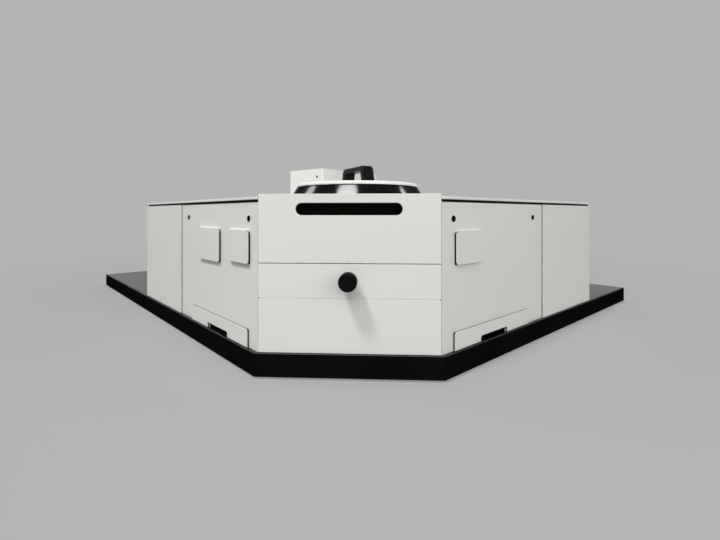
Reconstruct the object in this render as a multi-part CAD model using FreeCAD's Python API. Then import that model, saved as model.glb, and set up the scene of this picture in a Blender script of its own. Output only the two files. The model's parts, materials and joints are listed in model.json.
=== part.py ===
import FreeCAD, Part
import math
import os

# Bench fluorescence spectrometer: a sample chamber set across the corner of a base plate,
# with two monochromator arms running from it along two edges of the plate.
# Millimetres. Origin at the bottom centre of the base plate, +X along its long side,
# +Y to the back, +Z up. The chamber's front faces the (+X, -Y) corner.

os.makedirs("parts", exist_ok=True)
V = FreeCAD.Vector
ROOT2 = math.sqrt(2.0)

# Base plate and feet
plate_length = 1750.0
plate_depth = 1430.0
plate_thickness = 50.0
plate_rim = 4.0
plate_floor = 5.0
plate_cover = 6.0
plate_cover_gap = 0.3
rib_thickness = 4.0
ribs_across = 6
ribs_along = 5
foot_side = 50.0
foot_height = 4.0
foot_inset = 90.0

# Housing outline
housing_inset = 9.0
front_inset = 5.5
front_width = 380.0
chamber_height = 331.0
arm_length = 803.0
arm_width = 410.0
near_length = 456.0
far_step = 4.0
sheet = 3.0
seam = 0.8
running_gap = 0.3
shaft_clearance = 0.05

# Arm lid, its seal and hinges
arm_wall_height = 314.0
gasket_height = 5.2
gasket_width = 9.0
gasket_setback = 0.5
lid_thickness = 5.5
lid_sheet = 2.0
lid_side_gap = 1.0
lid_corner_relief = 14.0
lid_relief_length = 80.0
hinge_setback = 8.0
hinge_width = 40.0
hinge_knuckle_radius = 4.5
hinge_pin_radius = 2.0
hinge_end_distance = 80.0
hinge_strap_length = 25.0
hinge_strap_thickness = 2.0
hinge_plate_drop = 34.0
hinge_plate_thickness = 2.5
hinge_web_height = 8.0
hinge_ear = 3.0

# Side panel and its top rail
rail_gap = 0.5
rail_thickness = 5.0
rail_height = 18.0
latch_height = 279.0
latch_near_distance = 41.0
latch_far_distance = 401.0
latch_head_radius = 6.8
latch_head_proud = 1.0
latch_stem_radius = 4.95
latch_stem_depth = 12.5
latch_tongue_length = 26.0
latch_tongue_width = 12.0
latch_tongue_thickness = 2.5

# Flaps over the service windows, as (start, end, bottom, top) along the side panel
flap_right = (44.6, 142.4, 181.0, 250.0)
flap_left_near = (34.0, 129.0, 181.0, 250.0)
flap_left_far = (186.0, 313.0, 172.0, 250.0)
flap_thickness = 1.5
flap_standoff = 4.5
flap_corner = 8.0
flap_top_corner = 6.0
flap_roll_radius = (flap_standoff + flap_thickness - running_gap) / 2
flap_pin_radius = 1.2
flap_lug_width = 5.5
flap_lug_inset = 1.0
flap_lug_slack = 0.4
window_margin = 14.0

# Access cover over the cable port
cover_start = 40.0
cover_end = 365.0
cover_bottom = 1.0
cover_top = 40.0
cover_thickness = 1.5
cover_standoff = 3.5
cover_corner = 7.0
cover_stud_radius = 2.95
cover_stud_length = 6.0
cover_stud_inset = 22.0
port_start = 140.0
port_end = 257.0
port_height = 12.5
port_corner = 5.0
port_inner_height = 30.0

# Front of the chamber
middle_seam_height = 186.2
lower_seam_height = 113.7
upper_seam = 1.4
lower_seam = 0.5
front_flange_depth = 14.0
front_flange_thickness = 2.0
grip_length = 222.0
grip_height = 25.7
grip_centre_height = 299.0
grip_corner = 12.5
grip_depth = 30.0
grip_wall = 2.0

# Knob and its shaft
knob_height = 152.0
knob_radius = 19.0
knob_length = 26.0
knob_standoff = 10.0
knob_edge = 3.5
shaft_radius = 5.0
shaft_nose = 3.0
bush_radius = 9.0
bush_flange_radius = 13.0
bush_flange = 2.5
bush_length = 14.0

# Round port in the chamber's roof, its lid and the handle
lid_setback = 250.0
port_offset = 3.0
ring_base_radius = 174.0
ring_top_radius = 160.0
ring_height = 25.0
ring_edge = 3.0
ring_bore_radius = 134.0
ring_spigot = 7.0
ring_spigot_wall = 3.8
spigot_clearance = 0.2
seal_thickness = 1.6
seal_inner_radius = 143.0
seal_outer_radius = 157.0
port_lid_radius = 159.0
port_lid_thickness = 8.0
port_lid_edge = 3.4
plug_radius = 131.0
plug_wall = 6.0
plug_depth = 14.0
handle_length = 142.0
handle_top_length = 122.0
handle_width = 31.0
handle_height = 46.0
handle_leg = 17.0
handle_bar = 13.0
handle_corner = 13.0
handle_window_corner = 5.0
handle_side_edge = 3.0
handle_turn = 165.0

# Optics
beam_height = 160.0
beam_aperture_radius = 22.0
slit_spacing = 200.0
slit_body = (24.0, 56.0, 70.0)
slit_width = 4.0
slit_height = 16.0
slit_window = 12.0
mirror_radius = 32.0
mirror_thickness = 12.0
mirror_focal_length = 325.0
mirror_end_distance = 52.0
mirror_plate = 76.0
mirror_plate_thickness = 8.0
mirror_post = (16.0, 30.0)
mirror_foot = (52.0, 50.0, 8.0)
lens_radius = 26.0
lens_edge = 4.0
lens_crown = 3.5
lens_ring_wall = 10.0
lens_ring_length = 16.0
lens_foot = (50.0, 70.0, 10.0)
lens_post = (16.0, 34.0)
turret_distance = 575.0
turret_depth = 190.0
drive_side = 76.0
drive_height = 92.0
spindle_radius = 8.0
spindle_height = 14.0
turret_table_inradius = 32.0
turret_cap_radius = 14.0
turret_cap_height = 6.0
turret_table_thickness = 8.0
turret_core_inradius = 20.0
turret_core_height = 92.0
grating_width = 54.0
grating_height = 54.0
grating_thickness = 8.0
source_body = (130.0, 120.0, 190.0)
source_fin_count = 9
source_fin_height = 24.0
source_fin_thickness = 4.0
source_fin_inset = 8.0
source_corner = 6.0
nozzle_radius = 22.0
nozzle_gap = 0.5
nozzle_length = 30.0
detector_radius = 44.0
detector_length = 130.0
detector_cradle = (90.0, 60.0)

# Sample stage
stage_length = 190.0
stage_width = 110.0
stage_plate = 12.0
stage_overhang = 25.0
pedestal_collar = 8.0
pedestal_radius = 34.0
pedestal_height = 108.0
pivot_radius = 8.0
pivot_height = 6.0
ear_distance = 84.0
ear_thickness = 12.0
ear_width = 34.0
table_radius = 52.0
table_thickness = 9.0
cuvette_block = 40.0
cuvette_top = 186.0
cuvette_side = 12.6
cuvette_depth = 48.0
cuvette_window = (8.0, 24.0)
cuvette_block_corner = 3.0

# Tower behind the left arm
tower_width = 171.0
tower_depth = 331.0
tower_height = 448.0
tower_wall = 2.0
tower_edge = 8.0
tower_turn = 10.0
tower_offset_x = 29.0
tower_offset_y = 42.0

# Mains inlet in the end wall of the left arm
inlet_width = 58.0
inlet_height = 34.0
inlet_flange = 3.0
inlet_depth = 22.0
inlet_socket = (26.0, 18.0)
inlet_wall = 2.0
inlet_blade = (2.0, 4.5, 14.0)
inlet_blade_pitch = 7.0
inlet_earth_rise = 4.0
inlet_setback = 60.0
inlet_centre_height = 70.0

# Derived heights and places; heights of the housing are counted from the deck
deck = foot_height + plate_thickness
lid_bottom = arm_wall_height + gasket_height + running_gap
lid_top = lid_bottom + lid_thickness
roof_bottom = chamber_height - sheet
chamber_depth = arm_width * ROOT2
beam_depth = (front_width / 2 + lid_setback) / ROOT2
corner_x = plate_length / 2 - housing_inset
corner_y = -plate_depth / 2 + housing_inset
front_leg = front_width / ROOT2
left_start = V(corner_x - front_leg, corner_y, deck)
right_start = V(corner_x, corner_y + front_leg, deck)
front_middle = (left_start + right_start) * 0.5
diagonal = V(1 / ROOT2, 1 / ROOT2, 0)
plate_cut = housing_inset * 2 + front_leg - front_inset * ROOT2
far_start = near_length + seam / 2
sample_centre = V(front_width / 2, lid_setback, 0)
port_centre = sample_centre + V(port_offset, 0, 0)
ring_top = chamber_height + ring_height
port_lid_bottom = ring_top + seal_thickness + running_gap
port_lid_top = port_lid_bottom + port_lid_thickness
hinge_axis_depth = arm_width + hinge_setback
inlet_centre_depth = arm_width - inlet_setback
hinge_axis_height = lid_bottom


# Making and placing shapes

def box(low, high):
    return Part.makeBox(high[0] - low[0], high[1] - low[1], high[2] - low[2], V(*low))


def outline(corners):
    """Closed wire in the XY plane through corners (x, y, radius), rounded where radius > 0."""
    edges = []
    joints = []
    count = len(corners)
    for i in range(count):
        x, y, radius = corners[i]
        here = V(x, y, 0)
        back = V(corners[i - 1][0], corners[i - 1][1], 0) - here
        ahead = V(corners[(i + 1) % count][0], corners[(i + 1) % count][1], 0) - here
        back.normalize()
        ahead.normalize()
        if radius <= 0:
            joints.append((here, here, None))
            continue
        half = math.acos(max(-1.0, min(1.0, back.dot(ahead)))) / 2
        run = radius / math.tan(half)
        bisector = (back + ahead).normalize()
        middle = here + bisector * (radius / math.sin(half) - radius)
        joints.append((here + back * run, here + ahead * run, middle))
    for i in range(count):
        start, end, middle = joints[i]
        if middle is not None:
            edges.append(Part.Arc(start, middle, end).toShape())
        following = joints[(i + 1) % count][0]
        if (following - end).Length > 1e-6:
            edges.append(Part.LineSegment(end, following).toShape())
    return Part.Wire(edges)


def prism(corners, low, high):
    """Upright prism over an outline given as (x, y) or (x, y, radius)."""
    full = [(c[0], c[1], c[2] if len(c) > 2 else 0.0) for c in corners]
    face = Part.Face(outline(full))
    face.translate(V(0, 0, low))
    return face.extrude(V(0, 0, high - low))


def wall_plate(corners, near, far):
    """Plate standing in the XZ plane over an outline (x, z, radius), from y = near to y = far."""
    solid = prism(corners, -far, -near)
    solid.rotate(V(0, 0, 0), V(1, 0, 0), 90)
    return solid


def rounded(x0, x1, y0, y1, radius):
    return [(x0, y0, radius), (x1, y0, radius), (x1, y1, radius), (x0, y1, radius)]


def rod(radius, start, end):
    axis = V(*end) - V(*start)
    return Part.makeCylinder(radius, axis.Length, V(*start), axis)


def turned(profile, centre=V(0, 0, 0)):
    """Solid of revolution about the vertical through centre, from (radius, z) points."""
    points = [V(r, 0, z) for r, z in profile]
    face = Part.Face(Part.makePolygon(points + [points[0]]))
    solid = face.revolve(V(0, 0, 0), V(0, 0, 1), 360)
    solid.translate(centre)
    return solid


def fuse(*shapes):
    return shapes[0].multiFuse(list(shapes[1:])).removeSplitter()


def cut(shape, *tools):
    return shape.cut(list(tools))


def in_chamber(shape):
    """From the chamber's frame: x along its front from the left corner, y inwards."""
    placed = shape.copy()
    placed.rotate(V(0, 0, 0), V(0, 0, 1), 45)
    placed.translate(left_start)
    return placed


def in_right_arm(shape):
    """From an arm's frame: x away from the chamber along the outer face, y inwards."""
    placed = shape.copy()
    placed.rotate(V(0, 0, 0), V(0, 0, 1), 90)
    placed.translate(right_start)
    return placed


def in_left_arm(shape):
    return in_right_arm(shape).mirror(front_middle, diagonal)


def solids_of(shape):
    for solid in shape.Solids:
        if solid.Volume < 0:
            solid.reverse()
        yield solid


def write(name, *shapes):
    solids = [solid for shape in shapes for solid in solids_of(shape)]
    result = solids[0] if len(solids) == 1 else Part.makeCompound(solids)
    result.exportStep("parts/" + name + ".step")


# Base

def plate_outline(inset):
    """Rectangle with its front right corner cut off, moved inwards by inset."""
    x = plate_length / 2 - inset
    y = plate_depth / 2 - inset
    leg = plate_cut - inset * (2 - ROOT2)
    return [(-x, -y), (x - leg, -y), (x, -y + leg), (x, y), (-x, y)]


def base_ribs(top):
    ribs = []
    for i in range(1, ribs_across + 1):
        x = -plate_length / 2 + plate_length * i / (ribs_across + 1)
        ribs.append(box((x - rib_thickness / 2, -plate_depth / 2, foot_height + plate_floor),
                        (x + rib_thickness / 2, plate_depth / 2, top)))
    for i in range(1, ribs_along + 1):
        y = -plate_depth / 2 + plate_depth * i / (ribs_along + 1)
        ribs.append(box((-plate_length / 2, y - rib_thickness / 2, foot_height + plate_floor),
                        (plate_length / 2, y + rib_thickness / 2, top)))
    return fuse(*ribs)


def base_pan():
    rib_top = deck - plate_cover
    outer = prism(plate_outline(0), foot_height, deck)
    inside = prism(plate_outline(plate_rim), foot_height + plate_floor, deck + 1)
    ribs = base_ribs(rib_top).common(inside)
    return fuse(cut(outer, inside), ribs)


def base_top():
    return prism(plate_outline(plate_rim + plate_cover_gap), deck - plate_cover, deck)


def base_feet():
    x = plate_length / 2 - foot_inset
    y = plate_depth / 2 - foot_inset
    corner = plate_cut + foot_inset * (ROOT2 - 1)
    front = plate_length / 2 - corner
    side = -plate_depth / 2 + corner
    places = [(-x, y), (0, y), (x, y), (x, side), (front, -y), ((front - x) / 2, -y), (-x, -y)]
    half = foot_side / 2
    return [box((a - half, b - half, 0), (a + half, b + half, foot_height)) for a, b in places]


# Sample chamber

def beam_hole(direction):
    start = sample_centre + V(0, 0, beam_height)
    end = start + direction * (front_width * 0.9)
    return rod(beam_aperture_radius, start, end)


def chamber_side_wall(left):
    x = 0 if left else front_width - sheet
    wall = box((x, sheet, 0), (x + sheet, chamber_depth - sheet, roof_bottom))
    towards = V(-1, 1, 0) if left else V(1, 1, 0)
    return cut(wall, beam_hole(towards.normalize()))


def chamber_back_wall():
    return box((0, chamber_depth - sheet, 0), (front_width, chamber_depth, roof_bottom))


def chamber_roof():
    plate = box((0, sheet + running_gap, roof_bottom), (front_width, chamber_depth, chamber_height))
    hole_radius = ring_bore_radius + ring_spigot_wall + spigot_clearance
    hole = rod(hole_radius, port_centre, port_centre + V(0, 0, chamber_height + 1))
    return cut(plate, hole)


def front_plate(low, high):
    return box((0, 0, low), (front_width, sheet, high))


def front_lower_panel():
    return front_plate(0, lower_seam_height - lower_seam / 2)


def front_middle_panel():
    low = lower_seam_height + lower_seam / 2
    plate = front_plate(low, middle_seam_height - upper_seam / 2)
    hole = rod(bush_radius, (front_width / 2, -1, knob_height), (front_width / 2, sheet + 1, knob_height))
    return cut(plate, hole)


def grip_outline(grow):
    middle = front_width / 2
    half_length = grip_length / 2 + grow
    half_height = grip_height / 2 + grow
    return rounded(middle - half_length, middle + half_length,
                   grip_centre_height - half_height, grip_centre_height + half_height,
                   grip_corner + grow)


def front_cover():
    low = middle_seam_height + upper_seam / 2
    face = front_plate(low, chamber_height)
    side = sheet + running_gap
    wall = front_flange_thickness
    outer = box((side, sheet, low), (front_width - side, front_flange_depth, roof_bottom - running_gap))
    inner = box((side + wall, sheet, low + wall),
                (front_width - side - wall, front_flange_depth, roof_bottom - running_gap - wall))
    slot = wall_plate(grip_outline(0), -1, sheet + 1)
    return cut(fuse(face, cut(outer, inner)), slot)


def grip_recess():
    cup = wall_plate(grip_outline(grip_wall), sheet, sheet + grip_depth)
    hollow = wall_plate(grip_outline(0), sheet - 1, sheet + grip_depth - grip_wall)
    return cut(cup, hollow)


def on_knob_axis(profile):
    """Turned piece on the knob's axis, from (radius, distance in from the front face) points."""
    solid = turned(profile)
    solid.rotate(V(0, 0, 0), V(1, 0, 0), -90)
    solid.translate(V(front_width / 2, 0, knob_height))
    return solid


def knob():
    face = -knob_standoff - knob_length
    back = -knob_standoff
    body = on_knob_axis([(0, face), (knob_radius - knob_edge, face), (knob_radius, face + knob_edge),
                         (knob_radius, back), (0, back)])
    bore = on_knob_axis([(0, back - knob_length / 2), (shaft_radius, back - knob_length / 2),
                         (shaft_radius, back), (0, back)])
    return cut(body, bore)


def ear_front():
    return lid_setback - ear_distance - ear_thickness


def knob_shaft():
    start = -knob_standoff - knob_length / 2
    end = ear_front() + ear_thickness + shaft_nose
    return on_knob_axis([(0, start), (shaft_radius, start), (shaft_radius, end), (0, end)])


def knob_bush():
    bore = shaft_radius + shaft_clearance
    return on_knob_axis([(bore, -bush_flange), (bush_flange_radius, -bush_flange),
                         (bush_flange_radius, 0), (bush_radius, 0),
                         (bush_radius, bush_length), (bore, bush_length)])


def port_ring():
    low = chamber_height
    spigot = ring_bore_radius + ring_spigot_wall
    return turned([(ring_bore_radius, low - ring_spigot), (spigot, low - ring_spigot), (spigot, low),
                   (ring_base_radius, low), (ring_base_radius, low + ring_edge),
                   (ring_top_radius, ring_top), (ring_bore_radius, ring_top)], port_centre)


def port_lid_seal():
    low = ring_top + running_gap
    return turned([(seal_inner_radius, low), (seal_outer_radius, low),
                   (seal_outer_radius, low + seal_thickness - running_gap),
                   (seal_inner_radius, low + seal_thickness - running_gap)], port_centre)


def port_lid():
    rim = port_lid_radius
    low = port_lid_bottom
    inner = plug_radius - plug_wall
    return turned([(0, low), (inner, low), (inner, low - plug_depth), (plug_radius, low - plug_depth),
                   (plug_radius, low), (rim, low), (rim, port_lid_top - port_lid_edge),
                   (rim - port_lid_edge, port_lid_top), (0, port_lid_top)], port_centre)


def on_lid(shape):
    """Turns a piece modelled about the origin to the handle's angle and stands it on the lid."""
    placed = shape.copy()
    placed.rotate(V(0, 0, 0), V(0, 0, 1), handle_turn - 45)
    placed.translate(port_centre)
    return placed


def handle():
    """Bridge handle: two tapering legs and a bar, with its long edges bevelled."""
    low = port_lid_top
    top = port_lid_top + handle_height
    foot = handle_length / 2
    shoulder = handle_top_length / 2
    corners = [(-foot, low, 0), (-foot + handle_leg, low, 0),
               (-shoulder + handle_leg, top - handle_bar, handle_window_corner),
               (shoulder - handle_leg, top - handle_bar, handle_window_corner),
               (foot - handle_leg, low, 0), (foot, low, 0),
               (shoulder, top, handle_corner), (-shoulder, top, handle_corner)]
    body = wall_plate(corners, -handle_width / 2, handle_width / 2)
    rim = [edge for edge in body.Edges
           if abs(abs(edge.CenterOfMass.y) - handle_width / 2) < 0.01
           and edge.BoundBox.ZMax > top - handle_corner * 2 and edge.BoundBox.ZMin > low - 1]
    outer = [edge for edge in rim
             if edge.CenterOfMass.z > top - handle_bar * 0.6 or abs(edge.CenterOfMass.x) > shoulder - 1]
    return on_lid(body.makeChamfer(handle_side_edge, outer))


# Sample stage

def stage_front():
    return lid_setback - stage_length / 2 - stage_overhang


def sample_stage():
    middle = front_width / 2
    plate = box((middle - stage_width / 2, stage_front(), 0),
                (middle + stage_width / 2, stage_front() + stage_length + stage_overhang, stage_plate))
    collar = pedestal_radius + pedestal_collar
    column = turned([(0, 0), (collar, 0), (collar, stage_plate + pedestal_collar),
                     (pedestal_radius, stage_plate + pedestal_collar), (pedestal_radius, pedestal_height),
                     (pivot_radius, pedestal_height), (pivot_radius, pedestal_height + pivot_height),
                     (0, pedestal_height + pivot_height)], sample_centre)
    half = ear_width / 2
    ear = wall_plate([(middle - half, 0, 0), (middle + half, 0, 0),
                      (middle + half, knob_height + half, half - 0.5),
                      (middle - half, knob_height + half, half - 0.5)],
                     ear_front(), ear_front() + ear_thickness)
    bore = rod(shaft_radius + shaft_clearance, (middle, ear_front() - 1, knob_height),
               (middle, ear_front() + ear_thickness + 1, knob_height))
    return cut(fuse(plate, column, ear), bore)


def sample_holder():
    low = pedestal_height + running_gap
    table = rod(table_radius, (0, 0, low), (0, 0, low + table_thickness))
    half = cuvette_block / 2
    block = prism(rounded(-half, half, -half, half, cuvette_block_corner), low + table_thickness - 1, cuvette_top)
    pivot = rod(pivot_radius + shaft_clearance, (0, 0, low - 1), (0, 0, pedestal_height + pivot_height + running_gap))
    side = cuvette_side / 2
    well = box((-side, -side, cuvette_top - cuvette_depth), (side, side, cuvette_top + 1))
    wide = cuvette_window[0] / 2
    window_low = beam_height - cuvette_window[1] / 2
    window_high = beam_height + cuvette_window[1] / 2
    windows = [box((-half - 1, -wide, window_low), (half + 1, wide, window_high)),
               box((-wide, -half - 1, window_low), (wide, half + 1, window_high))]
    holder = cut(fuse(table, block), pivot, well, *windows)
    holder.rotate(V(0, 0, 0), V(0, 0, 1), -45)
    holder.translate(sample_centre)
    return holder


# Arms, in an arm's own frame

def arm_outline(front, edge, skew):
    """Plan of an arm, moved in from its outer face, its other walls and the chamber wall."""
    run = skew * ROOT2
    return [(front + run, front), (arm_length - edge, front),
            (arm_length - edge, arm_width - edge), (arm_width - edge + run, arm_width - edge)]


def window_box(flap):
    start, end, low, high = flap
    return box((start + window_margin, -1, low + window_margin),
               (end - window_margin, sheet + 1, high - window_margin / 2))


def stud_places():
    height = (cover_bottom + cover_top) / 2
    return [(cover_start + cover_stud_inset, height), (cover_end - cover_stud_inset, height)]


def side_panel(flaps):
    end = near_length - seam / 2
    top = arm_wall_height - running_gap
    plate = prism([(seam, 0), (end, 0), (end, sheet), (seam + sheet, sheet)], running_gap, top)
    tools = [window_box(flap) for flap in flaps]
    for place in (latch_near_distance, latch_far_distance):
        tools.append(rod(latch_stem_radius + shaft_clearance, (place, -1, latch_height),
                         (place, sheet + 1, latch_height)))
    for x, z in stud_places():
        tools.append(rod(cover_stud_radius + shaft_clearance, (x, -1, z), (x, sheet + 1, z)))
    tools.append(box((port_start, -1, -1), (port_end, sheet + 1, port_inner_height)))
    return cut(plate, *tools)


def far_panel():
    face = box((far_start, -far_step, 0), (arm_length, -far_step + sheet, arm_wall_height))
    flange = box((far_start, -far_step, arm_wall_height - sheet),
                 (arm_length, gasket_setback + gasket_width, arm_wall_height))
    inner = far_start + sheet
    trimmed = cut(flange, box((far_start - 1, -far_step + sheet, 0), (inner, 50, arm_wall_height + 1)),
                  box((arm_length - sheet, -far_step + sheet, 0), (arm_length + 1, 50, arm_wall_height + 1)))
    return fuse(face, trimmed)


def back_panel():
    inner = arm_width - sheet
    front = -far_step + sheet
    start = seam / 2 * ROOT2
    return prism([(inner + start, inner), (arm_length - sheet, inner), (arm_length - sheet, front),
                  (arm_length, front), (arm_length, arm_width), (arm_width + start, arm_width)],
                 0, arm_wall_height)


def slit_depths():
    return (beam_depth, beam_depth - slit_spacing)


def partition():
    plate = box((far_start, -far_step + sheet, 0), (far_start + sheet, arm_width - sheet, arm_wall_height))
    rail_face = sheet + rail_gap
    rail_start = rail_face + rail_thickness + seam
    rail = box((rail_start, rail_face, arm_wall_height - rail_height),
               (far_start + sheet, rail_face + rail_thickness, arm_wall_height))
    holes = [rod(slit_window, (far_start - 1, depth, beam_height), (far_start + sheet + 1, depth, beam_height))
             for depth in slit_depths()]
    return cut(fuse(plate, rail), *holes)


def gasket():
    outer = prism(arm_outline(gasket_setback, gasket_setback, 0), arm_wall_height, arm_wall_height + gasket_height)
    inner = prism(arm_outline(gasket_setback + gasket_width, gasket_setback + gasket_width, gasket_width),
                  arm_wall_height - 1, arm_wall_height + gasket_height + 1)
    return cut(outer, inner)


def arm_lid():
    gap = lid_side_gap * ROOT2
    front = -far_step
    relief_depth = arm_width - lid_relief_length
    corners = [(-front + lid_side_gap, front), (arm_length, front), (arm_length, arm_width),
               (arm_width + lid_corner_relief, arm_width), (relief_depth + gap, relief_depth), (gap, 0)]
    inset = lid_sheet
    skew = inset * ROOT2
    pocket = [(-front + lid_side_gap + skew + inset, front + inset), (arm_length - inset, front + inset),
              (arm_length - inset, arm_width - inset),
              (arm_width + lid_corner_relief + skew, arm_width - inset),
              (relief_depth + gap + skew, relief_depth - inset), (gap + skew + inset, inset)]
    return cut(prism(corners, lid_bottom, lid_top), prism(pocket, lid_bottom - 1, lid_top - lid_sheet))


def hinge_places():
    return (arm_width + hinge_end_distance, arm_length - hinge_end_distance)


def on_hinge_axis(radius, start, end):
    return rod(radius, (start, hinge_axis_depth, hinge_axis_height), (end, hinge_axis_depth, hinge_axis_height))


def hinge_bracket(place):
    """Fixed half of a lift-off hinge: plate, barrel, and the pin that stands out of it."""
    half = hinge_width / 2
    plate = box((place - half, arm_width, arm_wall_height - hinge_plate_drop),
                (place, arm_width + hinge_plate_thickness, arm_wall_height))
    web = box((place - half, arm_width, arm_wall_height - hinge_web_height),
              (place, hinge_axis_depth + hinge_ear, hinge_axis_height))
    barrel = on_hinge_axis(hinge_knuckle_radius, place - half, place)
    pin = on_hinge_axis(hinge_pin_radius, place - 1, place + half)
    return fuse(plate, web, barrel, pin)


def hinge_leaf(place):
    """Moving half: strap on the lid, and a barrel that runs on the pin."""
    half = hinge_width / 2
    low = place + running_gap
    strap = box((low, arm_width - hinge_strap_length, lid_top),
                (place + half, hinge_axis_depth, lid_top + hinge_strap_thickness))
    ear = box((low, hinge_axis_depth - hinge_ear, hinge_axis_height),
              (place + half, hinge_axis_depth + hinge_ear, lid_top + hinge_strap_thickness))
    barrel = on_hinge_axis(hinge_knuckle_radius, low, place + half)
    bore = on_hinge_axis(hinge_pin_radius + shaft_clearance, low - 1, place + half + 1)
    return cut(fuse(strap, ear, barrel), bore)


def latch(place, direction):
    """Quarter-turn fastener: round head outside, stem through the panel, tongue inside."""
    head = rod(latch_head_radius, (place, -latch_head_proud, latch_height), (place, -running_gap, latch_height))
    stem = rod(latch_stem_radius, (place, -running_gap, latch_height), (place, latch_stem_depth, latch_height))
    inside = sheet + rail_gap + rail_thickness + running_gap * 2
    half = latch_tongue_width / 2
    tip = place + direction * latch_tongue_length
    root = place - direction * half
    tongue = box((min(root, tip), inside, latch_height - half),
                 (max(root, tip), inside + latch_tongue_thickness, latch_height + half))
    return fuse(head, stem, tongue)


def flap_axis(flap):
    return (-running_gap - flap_roll_radius, flap[3] + flap_roll_radius)


def flap_plate(flap):
    start, end, low, high = flap
    depth, height = flap_axis(flap)
    face = -flap_standoff - flap_thickness
    lug_space = flap_lug_inset + flap_lug_width + running_gap
    plate = wall_plate([(start, low, flap_corner), (end, low, flap_corner),
                        (end, high, flap_top_corner), (start, high, flap_top_corner)], face, -flap_standoff)
    neck = box((start + lug_space, face, high - flap_top_corner), (end - lug_space, -flap_standoff, height))
    roll = rod(flap_roll_radius, (start + lug_space, depth, height), (end - lug_space, depth, height))
    bore = rod(flap_pin_radius + shaft_clearance, (start, depth, height), (end, depth, height))
    return cut(fuse(plate, neck, roll), bore)


def flap_hinge(flap):
    start, end = flap[0], flap[1]
    depth, height = flap_axis(flap)
    radius = flap_roll_radius - flap_lug_slack
    lugs = []
    for low in (start + flap_lug_inset, end - flap_lug_inset - flap_lug_width):
        lugs.append(rod(radius, (low, depth, height), (low + flap_lug_width, depth, height)))
        lugs.append(box((low, depth, height - radius), (low + flap_lug_width, 0, height + radius)))
    pin = rod(flap_pin_radius, (start + flap_lug_inset, depth, height), (end - flap_lug_inset, depth, height))
    return fuse(pin, *lugs)


def access_cover():
    """Plate with a cable notch, held off the panel on two push-in studs."""
    face = -cover_standoff - cover_thickness
    corners = [(cover_start, cover_bottom, 0), (port_start, cover_bottom, 0),
               (port_start, cover_bottom + port_height, port_corner),
               (port_end, cover_bottom + port_height, port_corner), (port_end, cover_bottom, 0),
               (cover_end, cover_bottom, 0), (cover_end, cover_top, cover_corner),
               (cover_start, cover_top, cover_corner)]
    plate = wall_plate(corners, face, -cover_standoff)
    studs = [rod(cover_stud_radius, (x, -cover_standoff, z), (x, cover_stud_length, z)) for x, z in stud_places()]
    return fuse(plate, *studs)


# Optics, in an arm's own frame

def slit_unit(depth):
    length, width, height = slit_body
    start = far_start + sheet
    body = box((start, depth - width / 2, beam_height - height / 2),
               (start + length, depth + width / 2, beam_height + height / 2))
    slot = box((start - 1, depth - slit_width / 2, beam_height - slit_height / 2),
               (start + length + 1, depth + slit_width / 2, beam_height + slit_height / 2))
    return cut(body, slot)


def mirror_face():
    return arm_length - mirror_end_distance


def mirror(depth):
    """Round mirror with a spherical hollow in its front face."""
    start = mirror_face()
    disc = rod(mirror_radius, (start, depth, beam_height), (start + mirror_thickness, depth, beam_height))
    ball = mirror_focal_length * 2
    sag = ball - math.sqrt(ball * ball - mirror_radius * mirror_radius)
    return cut(disc, Part.makeSphere(ball, V(start - ball + sag, depth, beam_height)))


def mirror_mount(depth):
    """Plate behind a mirror, on a post and a foot."""
    start = mirror_face() + mirror_thickness
    half = mirror_plate / 2
    thick, wide = mirror_post
    length, width, height = mirror_foot
    end = start + thick + (length - thick) / 4
    plate = box((start, depth - half, beam_height - half),
                (start + mirror_plate_thickness, depth + half, beam_height + half))
    post = box((start, depth - wide / 2, 0), (start + thick, depth + wide / 2, beam_height))
    foot = box((end - length, depth - width / 2, 0), (end, depth + width / 2, height))
    return fuse(plate, post, foot)


def lens_place():
    return (beam_depth + far_start) / 2


def lens():
    """Lens with one flat face and one curved face, turned about the beam."""
    half = lens_edge / 2
    ball = (lens_radius * lens_radius + lens_crown * lens_crown) / (2 * lens_crown)
    top = half + lens_crown
    middle_radius = lens_radius / 2
    rise = top - ball + math.sqrt(ball * ball - middle_radius * middle_radius)
    crown = Part.Arc(V(0, 0, top), V(middle_radius, 0, rise), V(lens_radius, 0, half)).toShape()
    rest = Part.makePolygon([V(lens_radius, 0, half), V(lens_radius, 0, -half), V(0, 0, -half), V(0, 0, top)])
    solid = Part.Face(Part.Wire([crown] + rest.Edges)).revolve(V(0, 0, 0), V(0, 0, 1), 360)
    solid.rotate(V(0, 0, 0), V(0, 1, 0), 90)
    solid.translate(V(lens_place(), beam_depth, beam_height))
    return solid


def lens_mount():
    middle = lens_place()
    length, width, height = lens_foot
    thick, wide = lens_post
    outer = lens_radius + lens_ring_wall
    foot = box((middle - length / 2, beam_depth - width / 2, 0), (middle + length / 2, beam_depth + width / 2, height))
    post = box((middle - thick / 2, beam_depth - wide / 2, 0),
               (middle + thick / 2, beam_depth + wide / 2, beam_height - lens_radius - 3))
    half = lens_ring_length / 2
    ring = rod(outer, (middle - half, beam_depth, beam_height), (middle + half, beam_depth, beam_height))
    bore = rod(lens_radius, (middle - half - 1, beam_depth, beam_height), (middle + half + 1, beam_depth, beam_height))
    return cut(fuse(foot, post, ring), bore)


def turret_drive():
    centre = V(turret_distance, turret_depth, 0)
    half = drive_side / 2
    motor = box((-half, -half, 0), (half, half, drive_height))
    motor.translate(centre)
    spindle = rod(spindle_radius, centre + V(0, 0, drive_height - 1), centre + V(0, 0, drive_height + spindle_height))
    return fuse(motor, spindle)


def triangle(inradius):
    """Corners of an equilateral triangle about the origin, one side facing -X."""
    reach = inradius * 2
    return [(reach * math.cos(math.radians(a)), reach * math.sin(math.radians(a))) for a in (0, 120, 240)]


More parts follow.
